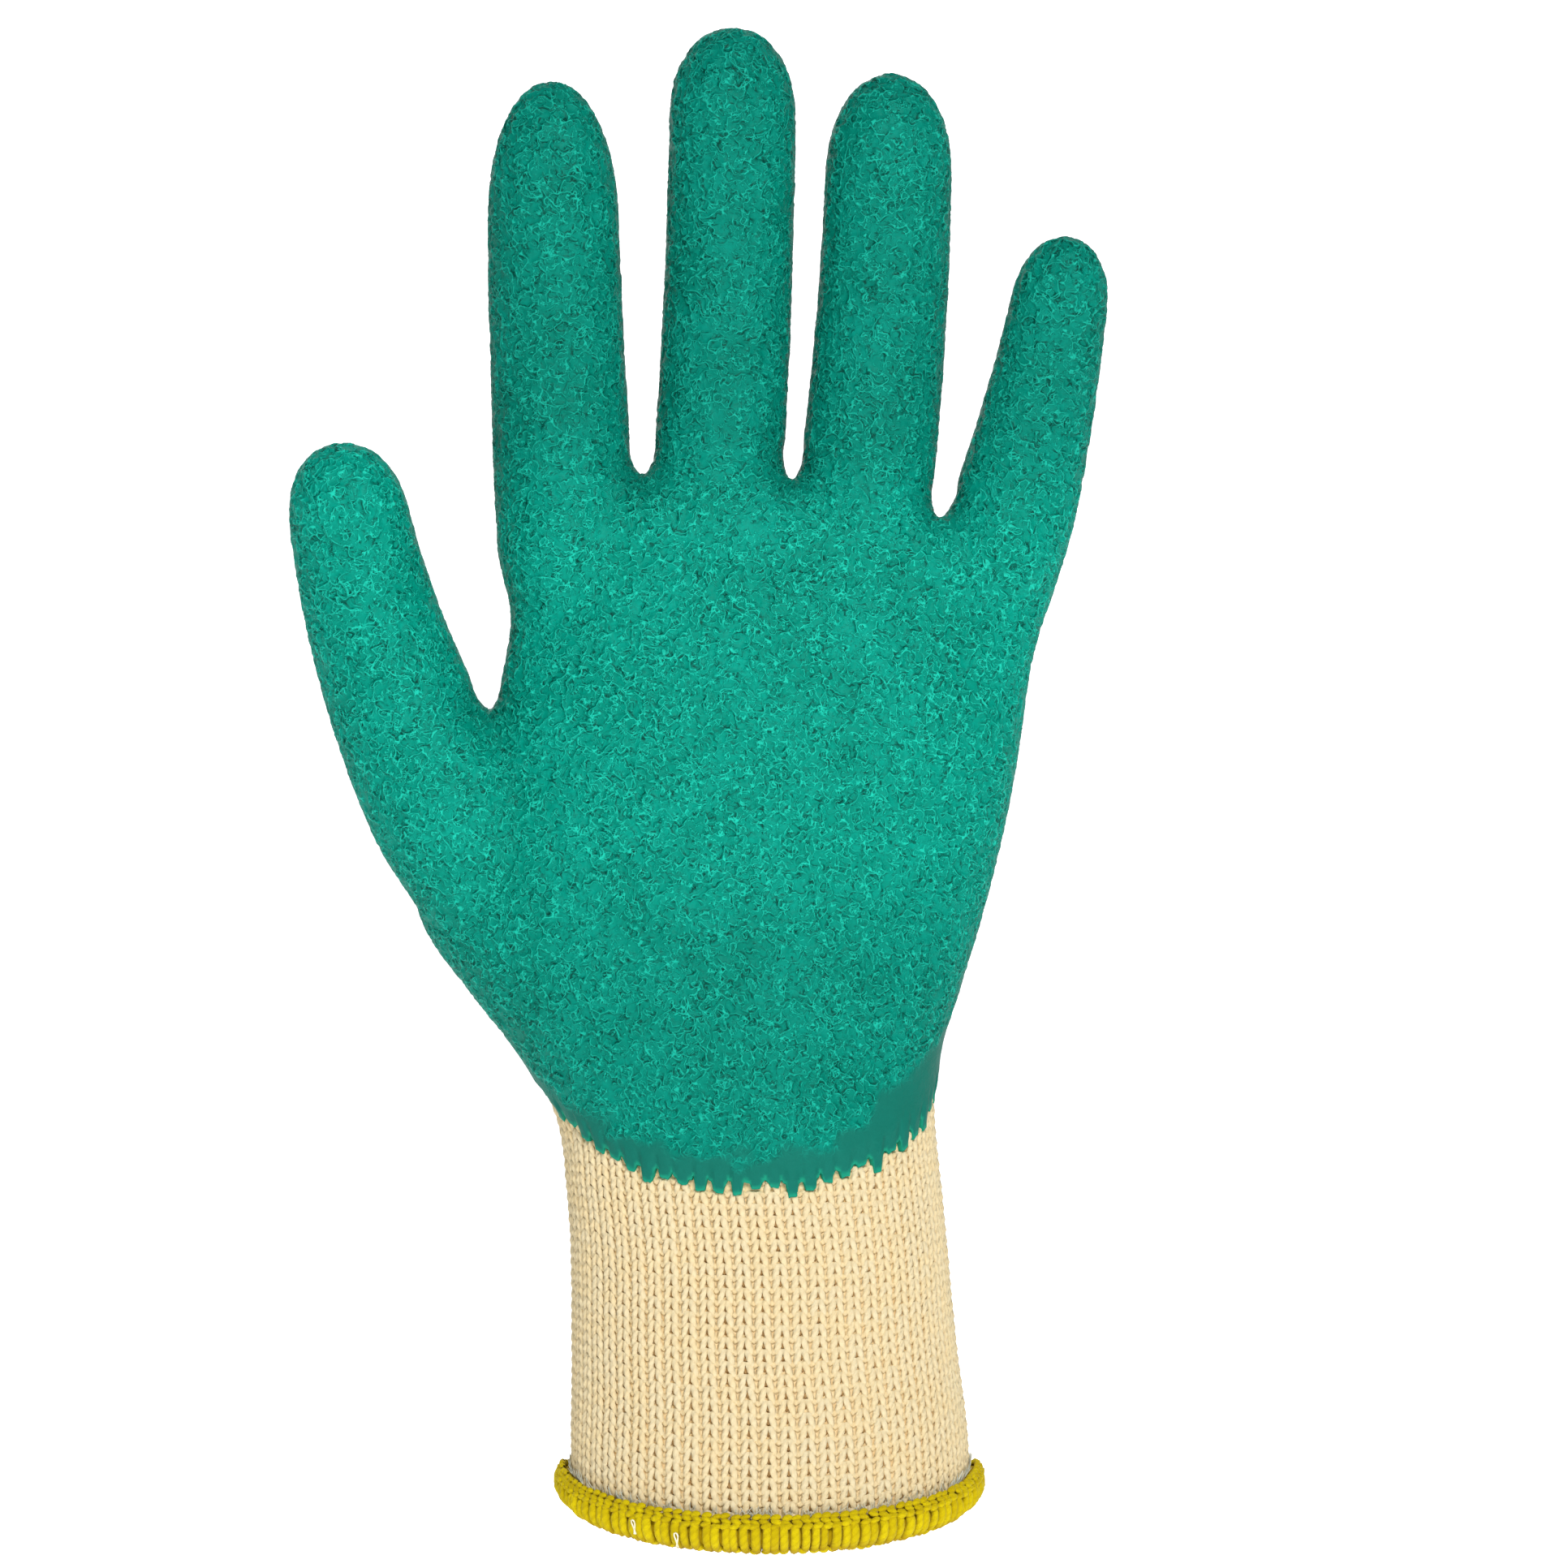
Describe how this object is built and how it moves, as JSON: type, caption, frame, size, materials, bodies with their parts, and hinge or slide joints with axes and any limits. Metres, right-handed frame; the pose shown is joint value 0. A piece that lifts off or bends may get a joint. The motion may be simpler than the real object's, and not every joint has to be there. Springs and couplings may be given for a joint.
{
  "type": "latex coated grip glove",
  "caption": "Left-hand knitted work glove with a crinkled green latex coating on palm and fingers, a ribbed cream cuff and a yellow overlocked hem, shown filled as worn.",
  "frame": {"origin": "centre of the cuff's opening, level with the sides of the cuff's knitted edge", "axes": "+Z along the glove towards the fingertips, -Y out of the coated palm side, +Y out of the back of the hand, -X towards the thumb"},
  "size_m": [0.1364, 0.0554, 0.2529],
  "materials": {
    "knit_yarn": "matt cream polyester-cotton knit, ribbed on the cuff",
    "latex": "crinkled semi-matt natural latex, dyed sea green",
    "hem_thread": "matt yellow textured overlock thread"
  },
  "bodies": {
    "root": {"knit_cuff": "knit_yarn", "knit_palm": "knit_yarn", "knit_index": "knit_yarn", "knit_middle": "knit_yarn", "knit_ring": "knit_yarn", "knit_little": "knit_yarn", "knit_thumb": "knit_yarn", "latex_coating": "latex", "overlocked_hem": "hem_thread"}
  },
  "joints": []
}
